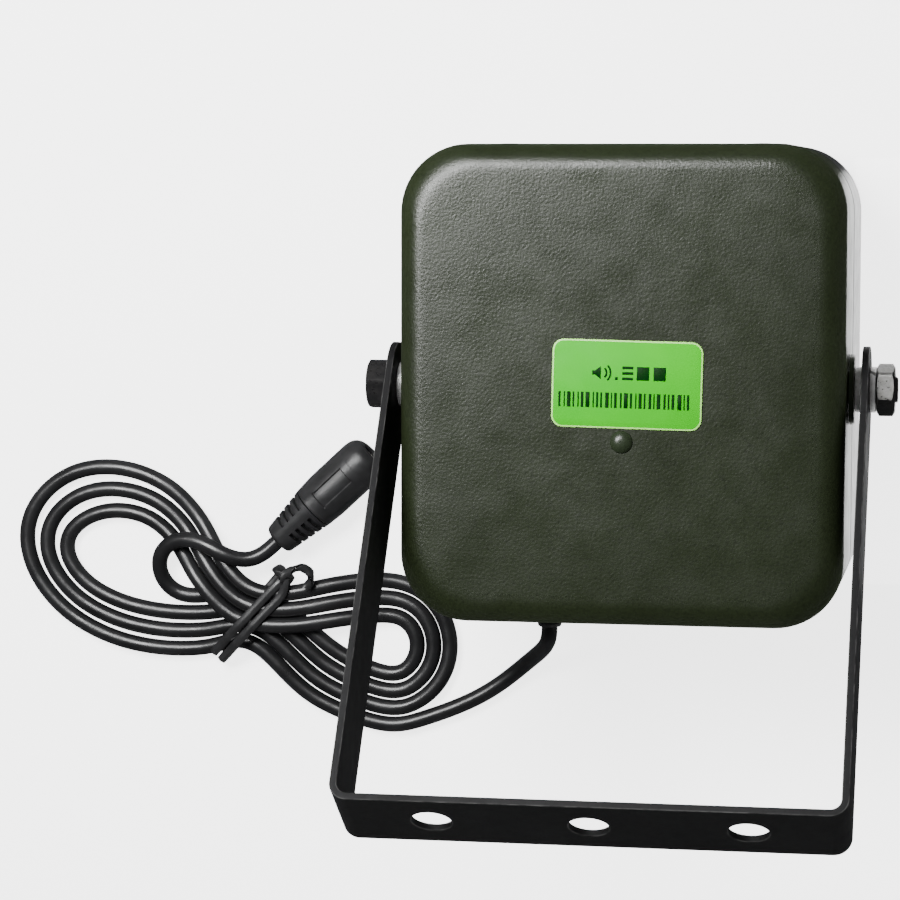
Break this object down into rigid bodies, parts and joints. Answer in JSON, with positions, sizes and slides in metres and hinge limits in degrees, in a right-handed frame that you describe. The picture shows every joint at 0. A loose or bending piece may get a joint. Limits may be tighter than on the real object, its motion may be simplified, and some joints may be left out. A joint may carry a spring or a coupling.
{
  "type": "horn loudspeaker",
  "caption": "Square horn loudspeaker of an electronic game caller: green steel back, swivelling U-shaped yoke, and a tied cord that ends in a low-voltage socket.",
  "frame": {"origin": "below the middle of the head with its yoke, on the plane of the horn's front rim, on which the speaker lies face down", "axes": "+Z out of the painted back, +Y towards the top of the head, +X towards the hex nut of the pivot"},
  "size_m": [0.2733, 0.185, 0.1507],
  "materials": {
    "green_paint": "semi-gloss fine-texture powder coat",
    "dark_green_paint": "semi-gloss paint",
    "black_paint": "satin powder coat",
    "black_oxide": "black oxide",
    "zinc": "bright zinc plate",
    "black_plastic": "fine-grain moulded",
    "rubber": "matte",
    "cord_pvc": "smooth, slightly glossy",
    "label": "printed film",
    "ferrite": "sintered, matte",
    "aluminium": "as cast",
    "phenolic": "pressed resin board",
    "copper": "enamelled wire",
    "nickel": "nickel plate",
    "red_pvc": "smooth",
    "foam": "open-cell foam"
  },
  "bodies": {
    "head": {"rear_cover": "green_paint", "rear_rivet": "green_paint", "pivot_boss_left": "dark_green_paint", "pivot_boss_right": "dark_green_paint", "pivot_bolt_left": "black_oxide", "pivot_bolt_right": "zinc", "captive_nut_left": "zinc", "pivot_spacer_left": "zinc", "pivot_spacer_right": "zinc", "spring_washer": "zinc", "hex_nut": "zinc", "top_plate": "zinc", "pole_piece": "zinc", "cover_screw_1": "zinc", "cover_screw_2": "zinc", "cover_screw_3": "zinc", "cover_screw_4": "zinc", "driver_bolt_1": "zinc", "driver_bolt_2": "zinc", "driver_bolt_3": "zinc", "driver_bolt_4": "zinc", "driver_screw_1": "zinc", "driver_screw_2": "zinc", "driver_screw_3": "zinc", "front_bell": "black_plastic", "horn_reflector": "black_plastic", "inner_horn": "black_plastic", "surround_ring": "black_plastic", "cable_clip": "black_plastic", "jack_body": "black_plastic", "twist_tie": "black_plastic", "cover_gasket": "rubber", "cable_gland": "rubber", "jack_strain_relief": "rubber", "cord_lead": "cord_pvc", "cord_tail": "cord_pvc", "cord_hank_left": "cord_pvc", "cord_hank_right": "cord_pvc", "cord_hank_waist": "cord_pvc", "wire_negative": "cord_pvc", "rating_label": "label", "magnet": "ferrite", "driver_housing": "aluminium", "reflector_post_1": "aluminium", "reflector_post_2": "aluminium", "reflector_post_3": "aluminium", "reflector_post_4": "aluminium", "phase_plug": "phenolic", "terminal_strip": "phenolic", "terminal_lug_positive": "nickel", "terminal_lug_negative": "nickel", "jack_sleeve_contact": "nickel", "jack_centre_pin": "nickel", "wire_positive": "red_pvc", "foam_pad": "foam"},
    "yoke": {"yoke": "black_paint"},
    "voice": {"diaphragm": "phenolic", "voice_coil": "copper"}
  },
  "joints": [
    {"name": "yoke_tilt", "type": "hinge", "parent": "head", "child": "yoke", "pos_m": [-0.00047, 0.02418, 0.0605], "axis": [-1, 0, 0], "range_deg": [-36.3, 143.7]},
    {"name": "diaphragm_travel", "type": "slide", "parent": "head", "child": "voice", "axis": [0, 0, 1], "range_m": [-0.0004, 0.0004], "stiffness_N_per_m": 2000}
  ]
}
